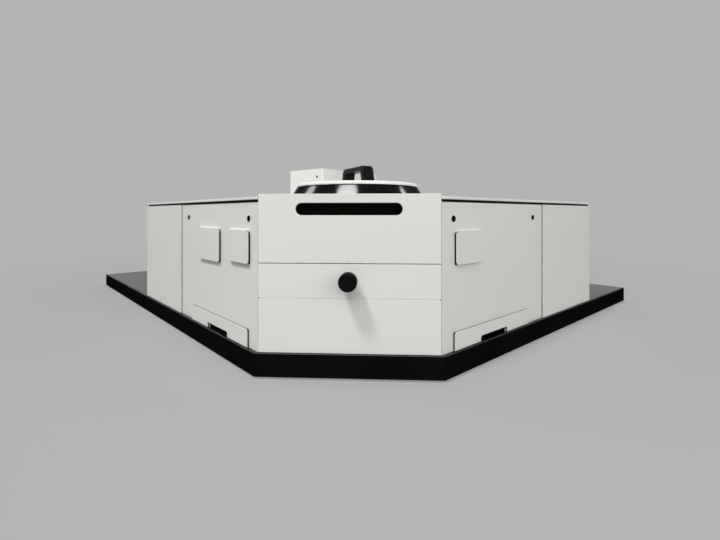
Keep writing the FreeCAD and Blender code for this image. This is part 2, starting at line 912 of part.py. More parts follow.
def grating_turret():
    low = drive_height + running_gap
    table = prism(triangle(turret_table_inradius), low, low + turret_table_thickness)
    core = prism(triangle(turret_core_inradius), low, low + turret_table_thickness + turret_core_height)
    cap = rod(turret_cap_radius, (0, 0, low + turret_core_height),
              (0, 0, low + turret_table_thickness + turret_core_height + turret_cap_height))
    bore = rod(spindle_radius + shaft_clearance, (0, 0, low - 1),
               (0, 0, drive_height + spindle_height + running_gap))
    body = cut(fuse(table, core, cap), bore)
    body.translate(V(turret_distance, turret_depth, 0))
    return body


def gratings():
    half = grating_width / 2
    low = beam_height - grating_height / 2
    blanks = []
    for i in range(3):
        blank = box((-turret_core_inradius - grating_thickness, -half, low),
                    (-turret_core_inradius, half, low + grating_height))
        blank.rotate(V(0, 0, 0), V(0, 0, 1), 120 * i)
        blank.translate(V(turret_distance, turret_depth, 0))
        blanks.append(blank)
    return blanks


def light_source():
    length, width, height = source_body
    depth = beam_depth - slit_spacing
    end = far_start - nozzle_gap - nozzle_length
    start = end - length
    body = prism(rounded(start, end, depth - width / 2, depth + width / 2, source_corner), 0, height)
    pitch = (length - source_fin_thickness) / (source_fin_count - 1)
    half = width / 2 - source_fin_inset
    fins = [box((start + i * pitch, depth - half, height - 1),
                (start + i * pitch + source_fin_thickness, depth + half, height + source_fin_height))
            for i in range(1, source_fin_count - 1)]
    nozzle = rod(nozzle_radius, (end - 1, depth, beam_height), (end + nozzle_length, depth, beam_height))
    return fuse(body, nozzle, *fins)


def detector():
    depth = beam_depth - slit_spacing
    end = far_start - nozzle_gap - nozzle_length
    start = end - detector_length
    can = rod(detector_radius, (start, depth, beam_height), (end, depth, beam_height))
    nozzle = rod(nozzle_radius, (end - 1, depth, beam_height), (end + nozzle_length, depth, beam_height))
    length, width = detector_cradle
    middle = (start + end) / 2
    cradle = box((middle - length / 2, depth - width / 2, 0),
                 (middle + length / 2, depth + width / 2, beam_height - detector_radius / 2))
    return fuse(can, nozzle, cradle)


# Tower and mains inlet

def tower_cover():
    """Tall open-bottomed cover, turned a little about its corner nearest the chamber."""
    wall = tower_wall
    outer = prism(rounded(-tower_width, 0, 0, tower_depth, tower_edge), 0, tower_height)
    inner = prism(rounded(-tower_width + wall, -wall, wall, tower_depth - wall, tower_edge - wall),
                  -1, tower_height - wall)
    shell = cut(outer, inner)
    shell.rotate(V(0, 0, 0), V(0, 0, 1), tower_turn)
    corner_of_arms = V(left_start.x - arm_width, left_start.y + arm_width, deck)
    shell.translate(corner_of_arms + V(tower_offset_x, tower_offset_y, 0))
    return shell


def inlet_body(start, end, grow):
    """Block on the inlet's axis, larger than its socket by grow all round."""
    half_width = inlet_socket[0] / 2 + grow
    half_height = inlet_socket[1] / 2 + grow
    return box((start, inlet_centre_depth - half_width, inlet_centre_height - half_height),
               (end, inlet_centre_depth + half_width, inlet_centre_height + half_height))


def power_inlet():
    half_width = inlet_width / 2
    half_height = inlet_height / 2
    back = arm_length - inlet_depth
    flange = box((arm_length, inlet_centre_depth - half_width, inlet_centre_height - half_height),
                 (arm_length + inlet_flange, inlet_centre_depth + half_width, inlet_centre_height + half_height))
    body = inlet_body(back, arm_length + 1, inlet_wall)
    mouth = inlet_body(back + inlet_wall, arm_length + inlet_flange + 1, 0)
    thin, tall, long = inlet_blade
    blades = []
    for side in (-1, 0, 1):
        depth = inlet_centre_depth + side * inlet_blade_pitch
        height = inlet_centre_height + inlet_earth_rise * (0.5 - abs(side))
        blades.append(box((back + inlet_wall - 1, depth - thin / 2, height - tall / 2),
                          (back + inlet_wall + long, depth + thin / 2, height + tall / 2)))
    return fuse(cut(fuse(flange, body), mouth), *blades)


def inlet_cutout():
    return inlet_body(arm_length - sheet - 1, arm_length + 1, inlet_wall)


# Writing every sub-part

def write_base():
    write("base_pan", base_pan())
    write("base_top", base_top())
    write("rubber_feet", *base_feet())


def write_chamber():
    write("chamber_left_wall", in_chamber(chamber_side_wall(True)))
    write("chamber_right_wall", in_chamber(chamber_side_wall(False)))
    write("chamber_back_wall", in_chamber(chamber_back_wall()))
    write("chamber_roof", in_chamber(chamber_roof()))
    write("front_lower_panel", in_chamber(front_lower_panel()))
    write("front_middle_panel", in_chamber(front_middle_panel()))
    write("front_cover", in_chamber(front_cover()))
    write("grip_recess", in_chamber(grip_recess()))
    write("knob", in_chamber(knob()))
    write("knob_shaft", in_chamber(knob_shaft()))
    write("knob_bush", in_chamber(knob_bush()))
    write("port_ring", in_chamber(port_ring()))
    write("port_lid_seal", in_chamber(port_lid_seal()))
    write("port_lid", in_chamber(port_lid()))
    write("handle", in_chamber(handle()))
    write("sample_stage", in_chamber(sample_stage()))
    write("sample_holder", in_chamber(sample_holder()))


def write_arm(side, place, flaps):
    write(side + "_side_panel", place(side_panel(flaps)))
    write(side + "_far_panel", place(far_panel()))
    write(side + "_partition", place(partition()))
    write(side + "_lid_gasket", place(gasket()))
    write(side + "_lid", place(arm_lid()))
    write(side + "_lid_hinge_leaves", *[place(hinge_leaf(x)) for x in hinge_places()])
    write(side + "_latch_near", place(latch(latch_near_distance, 1)))
    write(side + "_latch_far", place(latch(latch_far_distance, -1)))
    write(side + "_access_cover", place(access_cover()))
    write(side + "_flap_hinges", *[place(flap_hinge(flap)) for flap in flaps])
    write(side + "_grating_turret", place(grating_turret()))
    write(side + "_gratings", *[place(blank) for blank in gratings()])


def write_shared():
    arms = (in_left_arm, in_right_arm)
    depths = slit_depths()
    write("lid_hinge_brackets", *[place(hinge_bracket(x)) for place in arms for x in hinge_places()])
    write("slit_units", *[place(slit_unit(depth)) for place in arms for depth in depths])
    write("mirrors", *[place(mirror(depth)) for place in arms for depth in depths])
    write("mirror_mounts", *[place(mirror_mount(depth)) for place in arms for depth in depths])
    write("lenses", *[place(lens()) for place in arms])
    write("lens_mounts", *[place(lens_mount()) for place in arms])
    write("turret_drives", *[place(turret_drive()) for place in arms])


def write_single():
    write("left_flap_near", in_left_arm(flap_plate(flap_left_near)))
    write("left_flap_far", in_left_arm(flap_plate(flap_left_far)))
    write("right_flap", in_right_arm(flap_plate(flap_right)))
    write("left_back_panel", in_left_arm(cut(back_panel(), inlet_cutout())))
    write("right_back_panel", in_right_arm(back_panel()))
    write("light_source", in_left_arm(light_source()))
    write("detector", in_right_arm(detector()))
    write("power_inlet", in_left_arm(power_inlet()))
    write("tower_cover", tower_cover())


write_base()
write_chamber()
write_arm("left", in_left_arm, (flap_left_near, flap_left_far))
write_arm("right", in_right_arm, (flap_right,))
write_shared()
write_single()
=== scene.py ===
import bmesh
import bpy
import json
import math
from mathutils import Matrix, Vector


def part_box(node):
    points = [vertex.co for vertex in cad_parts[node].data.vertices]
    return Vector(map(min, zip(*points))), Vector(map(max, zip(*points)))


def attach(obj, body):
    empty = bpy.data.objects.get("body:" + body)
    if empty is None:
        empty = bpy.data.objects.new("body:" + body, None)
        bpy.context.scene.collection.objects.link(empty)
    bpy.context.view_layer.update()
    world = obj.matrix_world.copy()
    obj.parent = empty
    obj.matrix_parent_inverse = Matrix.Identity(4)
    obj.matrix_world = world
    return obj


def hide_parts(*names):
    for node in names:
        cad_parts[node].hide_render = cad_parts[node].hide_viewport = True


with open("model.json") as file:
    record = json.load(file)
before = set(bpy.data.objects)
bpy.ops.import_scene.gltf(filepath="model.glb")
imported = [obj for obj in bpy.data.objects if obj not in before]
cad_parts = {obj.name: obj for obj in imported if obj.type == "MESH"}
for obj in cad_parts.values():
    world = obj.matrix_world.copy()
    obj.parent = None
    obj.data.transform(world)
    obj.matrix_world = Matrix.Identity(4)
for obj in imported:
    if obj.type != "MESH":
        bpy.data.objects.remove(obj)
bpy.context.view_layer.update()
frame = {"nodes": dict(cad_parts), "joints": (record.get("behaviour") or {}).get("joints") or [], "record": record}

# Metres, in the model's own frame: the chamber's front faces the corner between +X and -Y.

MM = 0.001
ROOT2 = math.sqrt(2.0)
BODY_OF = {node: body for body, nodes in frame["record"]["behaviour"]["bodies"].items() for node in nodes}
SLOT_OF = {part["node"]: part["material_slot"] for part in frame["record"]["subparts"]}
JOINT = {joint["name"]: joint for joint in frame["joints"]}

# Camera, from the photograph's vanishing points
camera_place = Vector((1.3776, -1.1209, 0.345))
camera_turn = math.radians(48.05)
camera_lens = 20.53
camera_shift = -0.0792

# Light
world_level = 0.09
backdrop_level = 0.456
overhead_level = 0.10
floor_seen = 0.388
floor_bounce = 0.23

# Tower's corner nearest the chamber, its turn, and the height of the front's lower seam
tower_corner = Vector((0.21625, -0.25400, 0))
tower_turn = math.radians(10)
seam_height = 0.1677

# Round port and its lid, on the port's axis
ring_inner_radius = 134 * MM
ring_lip_radius = 137.8 * MM
ring_top_radius = 160 * MM
ring_height = 25.0 * MM
ring_lip_depth = 7 * MM
ring_foot_height = 3 * MM
lid_radius = 159 * MM
lid_top_radius = 155.6 * MM
lid_thickness = 8 * MM
lid_slope_height = 3.4 * MM
skirt_inner_radius = 125 * MM
skirt_outer_radius = 131 * MM
seal_inner_radius = 143 * MM
seal_outer_radius = 157 * MM

# Bridge handle, from its foot on the lid
handle_turn = math.radians(165)
handle_foot = 71 * MM
handle_shoulder = 61 * MM
handle_leg = 17 * MM
handle_height = 46 * MM
handle_bar = 13 * MM
handle_half_depth = 15.5 * MM
handle_bend = 14 * MM
handle_inner_bend = 6 * MM
handle_outer_round = 4.5 * MM
handle_inner_round = 2.0 * MM

# Knob and its bush, from the front's face
knob_gap = 10 * MM
knob_length = 26 * MM
knob_radius = 19 * MM
knob_bore_radius = 5 * MM
bush_bore_radius = 5.05 * MM
bush_head_radius = 13 * MM
bush_head = 2.5 * MM
bush_radius = 9 * MM
bush_depth = 14 * MM

# Small screw on the tower, and flat dark discs of painted shade for the relief holes on the front
screw_inset = 27 * MM
screw_height = 474 * MM
screw_radius = 3.8 * MM
hole_shade_offset = 187.6 * MM
hole_shade_radius = 1.2 * MM
hole_shade_thickness = 0.03 * MM

# Black strips of painted shade in the gaps behind the flaps and the access covers
flap_offset = 6.0 * MM
cover_offset = 5.0 * MM
flap_shade_strip_depth = 4.5 * MM
cover_shade_strip_depth = 3.5 * MM
shade_strip_width = 5 * MM
shade_strip_inset = 0.8 * MM
shade_strip_below_hinge = 9 * MM
shade_strip_gap = 0.4 * MM

# Edges
sheet_edge = 0.9 * MM
small_edge = 0.3 * MM
plate_edge = 1.8 * MM
crease_angle = math.radians(50)


# Node trees

def add(tree, kind, **values):
    node = tree.nodes.new(kind)
    for key, value in values.items():
        setattr(node, key, value)
    return node


def new_material(name, colour, roughness, metallic=0.0):
    """Plain material; returns it with its tree and shader, and its object coordinates."""
    material = bpy.data.materials.new(name)
    material.use_nodes = True
    material.diffuse_color = (*colour, 1)
    tree = material.node_tree
    shader = tree.nodes["Principled BSDF"]
    shader.inputs["Base Color"].default_value = (*colour, 1)
    shader.inputs["Roughness"].default_value = roughness
    shader.inputs["Metallic"].default_value = metallic
    return material, tree, shader


def coordinates(tree, scale=(1, 1, 1), turn=(0, 0, 0)):
    """Coordinates that stay with the piece, stretched and turned."""
    source = add(tree, "ShaderNodeTexCoord")
    mapping = add(tree, "ShaderNodeMapping")
    mapping.inputs["Scale"].default_value = scale
    mapping.inputs["Rotation"].default_value = turn
    tree.links.new(source.outputs["Object"], mapping.inputs["Vector"])
    return mapping.outputs["Vector"]


def noise(tree, vector, scale, detail=3.0, roughness=0.55):
    texture = add(tree, "ShaderNodeTexNoise")
    texture.inputs["Scale"].default_value = scale
    texture.inputs["Detail"].default_value = detail
    texture.inputs["Roughness"].default_value = roughness
    tree.links.new(vector, texture.inputs["Vector"])
    return texture.outputs["Fac"]


def remap(tree, value, low, high, from_low=0.3, from_high=0.7):
    node = add(tree, "ShaderNodeMapRange")
    node.inputs["From Min"].default_value = from_low
    node.inputs["From Max"].default_value = from_high
    node.inputs["To Min"].default_value = low
    node.inputs["To Max"].default_value = high
    tree.links.new(value, node.inputs["Value"])
    return node.outputs["Result"]


def two_tone(tree, shader, value, first, second):
    mix = add(tree, "ShaderNodeMix", data_type="RGBA")
    mix.inputs["A"].default_value = (*first, 1)
    mix.inputs["B"].default_value = (*second, 1)
    tree.links.new(value, mix.inputs["Factor"])
    tree.links.new(mix.outputs["Result"], shader.inputs["Base Color"])


def bump(tree, shader, height, strength, distance, previous=None):
    node = add(tree, "ShaderNodeBump")
    node.inputs["Strength"].default_value = strength
    node.inputs["Distance"].default_value = distance
    tree.links.new(height, node.inputs["Height"])
    if previous is not None:
        tree.links.new(previous, node.inputs["Normal"])
    tree.links.new(node.outputs["Normal"], shader.inputs["Normal"])
    return node.outputs["Normal"]


# Finishes

def powder_coat(name, colour, shade, gloss):
    """Stoved powder paint: a fine orange peel, and faint clouds in its shade and gloss."""
    material, tree, shader = new_material(name, colour, gloss)
    vector = coordinates(tree)
    clouds = noise(tree, vector, 3.5, 4.0)
    two_tone(tree, shader, remap(tree, clouds, 0.0, 1.0), colour, shade)
    tree.links.new(remap(tree, noise(tree, vector, 11.0, 5.0), gloss - 0.05, gloss + 0.07),
                   shader.inputs["Roughness"])
    peel = noise(tree, vector, 620.0, 2.0)
    grit = noise(tree, vector, 2600.0, 2.0)
    first = bump(tree, shader, peel, 0.10, 0.0003)
    bump(tree, shader, grit, 0.05, 0.0001, first)
    shader.inputs["Specular IOR Level"].default_value = 0.45
    return material


def anodised(name, colour, shade, roughness, gloss, grain_turn=None):
    """Black anodised metal, with fine mill lines where grain_turn says which way they run."""
    material, tree, shader = new_material(name, colour, roughness)
    shader.inputs["Specular IOR Level"].default_value = gloss
    vector = coordinates(tree)
    two_tone(tree, shader, remap(tree, noise(tree, vector, 6.0, 5.0), 0.0, 1.0), colour, shade)
    tree.links.new(remap(tree, noise(tree, vector, 25.0, 6.0), roughness - 0.02, roughness + 0.04),
                   shader.inputs["Roughness"])
    normal = bump(tree, shader, noise(tree, vector, 1800.0, 2.0), 0.06, 0.0001)
    if grain_turn is not None:
        lines = noise(tree, coordinates(tree, (6, 900, 6), (0, 0, grain_turn)), 1.0, 3.0)
        bump(tree, shader, lines, 0.05, 0.0002, normal)
    return material


def glossy_upwards(material):
    """Makes the edges and faces that look upwards shine, and leaves the sides dull."""
    tree = material.node_tree
    source = add(tree, "ShaderNodeTexCoord")
    split = add(tree, "ShaderNodeSeparateXYZ")
    tree.links.new(source.outputs["Normal"], split.inputs["Vector"])
    shine = remap(tree, split.outputs["Z"], 0.0, 0.9, 0.1, 0.5)
    tree.links.new(shine, tree.nodes["Principled BSDF"].inputs["Specular IOR Level"])


def distance_from(tree, centre):
    """Distance from an upright axis, for marks that run round it."""
    source = add(tree, "ShaderNodeTexCoord")
    shift = add(tree, "ShaderNodeVectorMath", operation="SUBTRACT")
    shift.inputs[1].default_value = centre
    flat = add(tree, "ShaderNodeVectorMath", operation="MULTIPLY")
    flat.inputs[1].default_value = (1, 1, 0)
    length = add(tree, "ShaderNodeVectorMath", operation="LENGTH")
    tree.links.new(source.outputs["Object"], shift.inputs[0])
    tree.links.new(shift.outputs["Vector"], flat.inputs[0])
    tree.links.new(flat.outputs["Vector"], length.inputs[0])
    return length.outputs["Value"], source.outputs["Object"]


def turned_metal(name, colour, shade, roughness, metallic, centre):
    """Lathe-turned metal: fine rings about the axis, on the sloping side as on the top."""
    material, tree, shader = new_material(name, colour, roughness, metallic)
    radius, place = distance_from(tree, centre)
    split = add(tree, "ShaderNodeSeparateXYZ")
    tree.links.new(place, split.inputs["Vector"])
    along = add(tree, "ShaderNodeCombineXYZ")
    tree.links.new(radius, along.inputs["X"])
    tree.links.new(split.outputs["Z"], along.inputs["Z"])
    fine = noise(tree, along.outputs["Vector"], 2600.0, 2.0, 0.7)
    coarse = noise(tree, along.outputs["Vector"], 420.0, 3.0, 0.6)
    two_tone(tree, shader, remap(tree, coarse, 0.0, 1.0), colour, shade)
    normal = bump(tree, shader, fine, 0.06, 0.0001)
    bump(tree, shader, coarse, 0.05, 0.0002, normal)
    tree.links.new(remap(tree, fine, roughness - 0.03, roughness + 0.05), shader.inputs["Roughness"])
    shader.inputs["Anisotropic"].default_value = 0.7
    shader.inputs["Anisotropic Rotation"].default_value = 0.25
    shader.inputs["Specular Tint"].default_value = (0.35, 0.35, 0.37, 1)
    tangent = add(tree, "ShaderNodeTangent", direction_type="RADIAL", axis="Z")
    tree.links.new(tangent.outputs["Tangent"], shader.inputs["Tangent"])
    return material


def moulded(name, colour, shade, roughness, gloss, scale=900.0):
    """Moulded black plastic with a fine spark-eroded grain."""
    material, tree, shader = new_material(name, colour, roughness)
    shader.inputs["Specular IOR Level"].default_value = gloss
    vector = coordinates(tree)
    two_tone(tree, shader, remap(tree, noise(tree, vector, 30.0, 4.0), 0.0, 1.0), colour, shade)
    bump(tree, shader, noise(tree, vector, scale, 3.0), 0.16, 0.0002)
    tree.links.new(remap(tree, noise(tree, vector, 60.0, 4.0), roughness - 0.05, roughness + 0.09),
                   shader.inputs["Roughness"])
    return material


def brushed(name, colour, shade, roughness, stretch):
    """Bare metal with marks drawn out along one direction."""
    material, tree, shader = new_material(name, colour, roughness, 1.0)
    lines = noise(tree, coordinates(tree, stretch), 1.0, 4.0, 0.7)
    two_tone(tree, shader, remap(tree, lines, 0.0, 1.0), colour, shade)
    bump(tree, shader, lines, 0.12, 0.0002)
    tree.links.new(remap(tree, lines, roughness - 0.06, roughness + 0.10), shader.inputs["Roughness"])
    return material


def optical_glass():
    material, tree, shader = new_material("coated_glass", (0.93, 0.96, 0.98), 0.02)
    shader.inputs["Transmission Weight"].default_value = 1.0
    shader.inputs["IOR"].default_value = 1.52
    shader.inputs["Coat Weight"].default_value = 0.3
    shader.inputs["Coat Tint"].default_value = (0.75, 0.65, 0.95, 1)
    bump(tree, shader, noise(tree, coordinates(tree), 40.0, 2.0), 0.01, 0.0001)
    return material


def silvered(name, colour):
    material, tree, shader = new_material(name, colour, 0.03, 1.0)
    haze = noise(tree, coordinates(tree), 35.0, 4.0)
    tree.links.new(remap(tree, haze, 0.02, 0.07), shader.inputs["Roughness"])
    return material


def ruled(name):
    """Ruled grating: very fine upright lines, faintly coloured in stripes that are a painted sheen, standing for
    the colours the rules split out of the light.
    """
    material, tree, shader = new_material(name, (0.72, 0.75, 0.80), 0.14, 1.0)
    lines = noise(tree, coordinates(tree, (2500, 2500, 2)), 1.0, 2.0, 0.7)
    # Painted sheen: two tints that stand for the grating's split light, fixed in its colour.
    diffraction_sheen = noise(tree, coordinates(tree, (9, 9, 3)), 2.0, 1.0)
    two_tone(tree, shader, remap(tree, diffraction_sheen, 0.0, 1.0), (0.62, 0.74, 0.82), (0.80, 0.70, 0.66))
    bump(tree, shader, lines, 0.2, 0.0001)
    shader.inputs["Anisotropic"].default_value = 0.6
    return material


port_centre = Vector(JOINT["port_lid_turn"]["pos_m"])
white = powder_coat("white_powder_paint", (0.83, 0.835, 0.80), (0.81, 0.815, 0.775), 0.42)
lid_white = powder_coat("white_lid_paint", (0.83, 0.835, 0.80), (0.815, 0.82, 0.785), 0.36)
plate_black = anodised("black_plate_top", (0.006, 0.006, 0.006), (0.009, 0.009, 0.009), 0.20, 0.50, 0.0)
pan_black = anodised("black_plate_sides", (0.0045, 0.0045, 0.0040), (0.0058, 0.0058, 0.0052), 0.50, 0.0)
glossy_upwards(pan_black)
ring_black = turned_metal("black_turned_ring", (0.064, 0.065, 0.064), (0.082, 0.083, 0.081), 0.15, 1.0,
                          port_centre)
plastic = moulded("black_moulding", (0.0030, 0.0034, 0.0036), (0.0050, 0.0052, 0.0054), 0.30, 0.16)
knob_black = moulded("black_knob", (0.0030, 0.0034, 0.0036), (0.005, 0.0055, 0.0055), 0.50, 0.05)
latch_black = moulded("black_latches", (0.0022, 0.0022, 0.0018), (0.0035, 0.0035, 0.0030), 0.50, 0.0)
# Black of the grip recess, used as well for the painted shade of the seam's relief holes
grip_black_and_hole_shade = moulded("black_grip_and_painted_hole_shade", (0.0080, 0.0080, 0.0060), (0.0100, 0.0100, 0.0080), 0.62, 0.03)
rubber_and_gap_shade = moulded("black_rubber", (0.006, 0.006, 0.006), (0.010, 0.010, 0.010), 0.78, 0.10, 500.0)
inside_black = anodised("black_optics", (0.012, 0.012, 0.013), (0.018, 0.018, 0.019), 0.50, 0.20)
steel = brushed("ground_steel", (0.62, 0.62, 0.62), (0.50, 0.50, 0.50), 0.26, (900, 900, 900))
bronze = brushed("turned_bronze", (0.60, 0.43, 0.22), (0.50, 0.35, 0.17), 0.30, (700, 700, 700))
motor_grey = anodised("grey_castings", (0.36, 0.37, 0.38), (0.42, 0.43, 0.44), 0.45, 0.45)
glass = optical_glass()
mirror = silvered("front_silvered", (0.93, 0.93, 0.94))
grating = ruled("ruled_grating")

FINISH = {
    "white_paint": white, "lid_white": lid_white, "black_plate": plate_black, "black_turned": ring_black,
    "black_plastic": plastic, "black_rubber": rubber_and_gap_shade, "black_anodised": inside_black, "bare_steel": steel,
    "bronze": bronze, "motor_grey": motor_grey, "glass": glass, "mirror": mirror,
}


# Pieces

def new_piece(name, mesh, body, material):
    """Puts a mesh in the scene with its finish, riding on a body."""
    mesh.materials.clear()
    mesh.materials.append(material)
    for polygon in mesh.polygons:
        polygon.use_smooth = True
        polygon.material_index = 0
    piece = bpy.data.objects.new(name, mesh)
    bpy.context.scene.collection.objects.link(piece)
    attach(piece, body)
    return piece


def shade_edges(piece):
    """Keeps sharp edges crisp and shades the rest smoothly."""
    work = bmesh.new()
    work.from_mesh(piece.data)
    for edge in work.edges:
        edge.smooth = len(edge.link_faces) < 2 or edge.calc_face_angle(0.0) < crease_angle
    work.to_mesh(piece.data)
    work.free()


def node_mesh(node):
    """The node's surface with its faces joined up again, as a new mesh."""
    work = bmesh.new()
    work.from_mesh(frame["nodes"][node].data)
    bmesh.ops.remove_doubles(work, verts=work.verts, dist=1e-6)
    bmesh.ops.dissolve_limit(work, angle_limit=math.radians(0.4), verts=work.verts, edges=work.edges)
    points = [v.co.copy() for v in work.verts]
    for index, vertex in enumerate(work.verts):
        vertex.index = index
    faces = [[v.index for v in face.verts] for face in work.faces]
    work.free()
    mesh = bpy.data.meshes.new(node + "_mesh")
    mesh.from_pydata(points, [], faces)
    return mesh


def softened(node, width, material=None, segments=2):
    """The node with its edges rounded over, standing for the sharp one."""
    slot = SLOT_OF[node]
    piece = new_piece(node + "_finished", node_mesh(node), BODY_OF[node], material or FINISH[slot])
    bevel = piece.modifiers.new("rounded_edges", "BEVEL")
    bevel.width = width
    bevel.segments = segments
    bevel.limit_method = "ANGLE"
    bevel.angle_limit = math.radians(35)
    bevel.use_clamp_overlap = True
    normals = piece.modifiers.new("flat_faces", "WEIGHTED_NORMAL")
    normals.keep_sharp = True
    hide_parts(node)
    return piece


def round_corners(corners, segments=5):
    """Profile points (r, z) from corners given as (r, z, radius)."""
    points = []
    for i, (r, z, radius) in enumerate(corners):
        here = Vector((r, z))
        if radius <= 0 or i in (0, len(corners) - 1):
            points.append(here)
            continue
        back = (Vector(corners[i - 1][:2]) - here).normalized()
        ahead = (Vector(corners[i + 1][:2]) - here).normalized()
        half = back.angle(ahead) / 2
        run = radius / math.tan(half)
        start = here + back * run
        end = here + ahead * run
        centre = here + (back + ahead).normalized() * (radius / math.sin(half))
        from_angle = math.atan2(start.y - centre.y, start.x - centre.x)
        sweep = math.atan2(end.y - centre.y, end.x - centre.x) - from_angle
        sweep = (sweep + math.pi) % (2 * math.pi) - math.pi
        for k in range(segments + 1):
            angle = from_angle + sweep * k / segments
            points.append(centre + Vector((math.cos(angle), math.sin(angle))) * radius)
    return points


def closed_mesh(name, points, faces):
    """Mesh whose faces all look outwards."""
    mesh = bpy.data.meshes.new(name)
    mesh.from_pydata(points, [], faces)
    work = bmesh.new()
    work.from_mesh(mesh)
    bmesh.ops.recalc_face_normals(work, faces=work.faces)
    work.to_mesh(mesh)
    work.free()
    return mesh


def lathe(name, corners, steps, place, closed):
    """Turned mesh from a profile (r, z, radius) in metres, placed by a matrix."""
    profile = round_corners(corners)
    points = []
    faces = []
    rows = []
    for point in profile:
        if point.x < 1e-7:
            rows.append([len(points)])
            points.append(place @ Vector((0, 0, point.y)))
            continue
        row = []
        for k in range(steps):
            angle = 2 * math.pi * k / steps
            row.append(len(points))
            points.append(place @ Vector((point.x * math.cos(angle), point.x * math.sin(angle), point.y)))
        rows.append(row)
    pairs = list(zip(rows, rows[1:]))
    if closed:
        pairs.append((rows[-1], rows[0]))
    for low, high in pairs:
        for k in range(steps):
            ahead = k + 1
            ring = [low[k % len(low)], low[ahead % len(low)], high[ahead % len(high)], high[k % len(high)]]
            corner = list(dict.fromkeys(ring))
            if len(corner) > 2:
                faces.append(corner)
    return closed_mesh(name, points, faces)


def turned_piece(name, corners, steps, place, closed, node, material):
    """Turned piece that stands for a node and rides on its body."""
    mesh = lathe(name, corners, steps, place, closed)
    piece = new_piece(name, mesh, BODY_OF[node], material)
    shade_edges(piece)
    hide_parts(node)


def at(centre, z):
    return Matrix.Translation((centre.x, centre.y, z))


# Chamber's round port

def port_pieces():
    low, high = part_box("port_ring")
    base = (high.x - low.x) / 2
    top = high.z
    foot = top - ring_height
    axis = at(port_centre, 0)
    turned_piece("turned_ring", [
        (ring_inner_radius, foot - ring_lip_depth, 0), (ring_lip_radius, foot - ring_lip_depth, 0),
        (ring_lip_radius, foot, 0), (base, foot, 0.5 * MM), (base, foot + ring_foot_height, 1.0 * MM),
        (ring_top_radius, top, 1.4 * MM), (ring_inner_radius, top, 0.8 * MM)],
        256, axis, True, "port_ring", ring_black)

    low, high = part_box("port_lid")
    under = high.z - lid_thickness
    skirt = low.z
    turned_piece("round_lid", [
        (0, under, 0), (skirt_inner_radius, under, 0.4 * MM), (skirt_inner_radius, skirt, 0.4 * MM),
        (skirt_outer_radius, skirt, 0.8 * MM), (skirt_outer_radius, under, 0.4 * MM),
        (lid_radius, under, 0.6 * MM), (lid_radius, high.z - lid_slope_height, 1.6 * MM),
        (lid_top_radius, high.z, 2.2 * MM), (0, high.z, 0)],
        256, axis, False, "port_lid", lid_white)

    low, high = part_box("port_lid_seal")
    middle = (low.z + high.z) / 2
    turned_piece("lid_seal_ring", [
        (seal_inner_radius, low.z, 0.3 * MM), (seal_outer_radius, low.z, 0.5 * MM),
        (seal_outer_radius, high.z, 0.5 * MM), (seal_inner_radius, high.z, 0.3 * MM),
        (seal_inner_radius, middle, 0)],
        192, axis, True, "port_lid_seal", rubber_and_gap_shade)


def handle_stations():
    """Matching points down the inside and the outside of the bridge, from foot to foot."""
    foot, shoulder, top = handle_foot, handle_shoulder, handle_height
    leg, under = handle_leg, handle_height - handle_bar
    outer = [(-foot, 0.0, 0), (-shoulder, top, handle_bend), (shoulder, top, handle_bend), (foot, 0.0, 0)]
    inner = [(-foot + leg, 0.0, 0), (-shoulder + leg, under, handle_inner_bend),
             (shoulder - leg, under, handle_inner_bend), (foot - leg, 0.0, 0)]
    rows = []
    for line in (outer, inner):
        points = round_corners(line, 10)
        legs = []
        for k in range(6):
            legs.append(points[0].lerp(points[1], k / 6))
        middle = [points[11].lerp(points[12], k / 8) for k in range(1, 8)]
        ending = [points[22].lerp(points[23], k / 6) for k in range(1, 7)]
        rows.append(legs + points[1:12] + middle + points[12:23] + ending)
    return list(zip(*rows))


def handle_section(outer, inner, half):
    """Closed loop across the bridge: its outer corners are rounded more than its inner ones."""
    loop = []
    depth = (outer - inner).length
    sides = [(1, 1, handle_outer_round), (-1, 1, handle_outer_round),
             (-1, 0, handle_inner_round), (1, 0, handle_inner_round)]
    starts = (0, 90, 180, 270)
    for (side, out, radius), start in zip(sides, starts):
        centre_y = side * (half - radius)
        centre_d = depth - radius if out else radius
        for k in range(6):
            angle = math.radians(start + 90 * k / 5)
            y = centre_y + radius * math.cos(angle)
            d = centre_d + radius * math.sin(angle)
            flat = inner + (outer - inner) * (d / depth)
            loop.append(Vector((flat.x, y, flat.y)))
    return loop


def bridge_handle():
    low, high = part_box("handle")
    turn = Matrix.Rotation(handle_turn, 4, "Z")
    place = Matrix.Translation((port_centre.x, port_centre.y, low.z)) @ turn
    points = []
    faces = []
    count = 24
    stations = handle_stations()
    for outer, inner in stations:
        points += [place @ p for p in handle_section(outer, inner, handle_half_depth)]
    for i in range(len(stations) - 1):
        for k in range(count):
            a = i * count + k
            b = i * count + (k + 1) % count
            faces.append([a, b, b + count, a + count])
    last = (len(stations) - 1) * count
    faces.append(list(range(count))[::-1])
    faces.append([last + k for k in range(count)])
    mesh = closed_mesh("bridge_handle", points, faces)
    piece = new_piece("bridge_handle", mesh, BODY_OF["handle"], plastic)
    shade_edges(piece)
    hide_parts("handle")


# Front of the chamber

def front_axis(distance):
    """Frame on the knob's axis, its Z pointing out of the front, that far out from the face."""
    centre = Vector(JOINT["knob_turn"]["pos_m"])
    out = Vector((1 / ROOT2, -1 / ROOT2, 0))
    across = Vector((1 / ROOT2, 1 / ROOT2, 0))
    frame_axes = Matrix((across, Vector((0, 0, 1)), out)).transposed().to_4x4()
    return Matrix.Translation(centre + out * distance) @ frame_axes


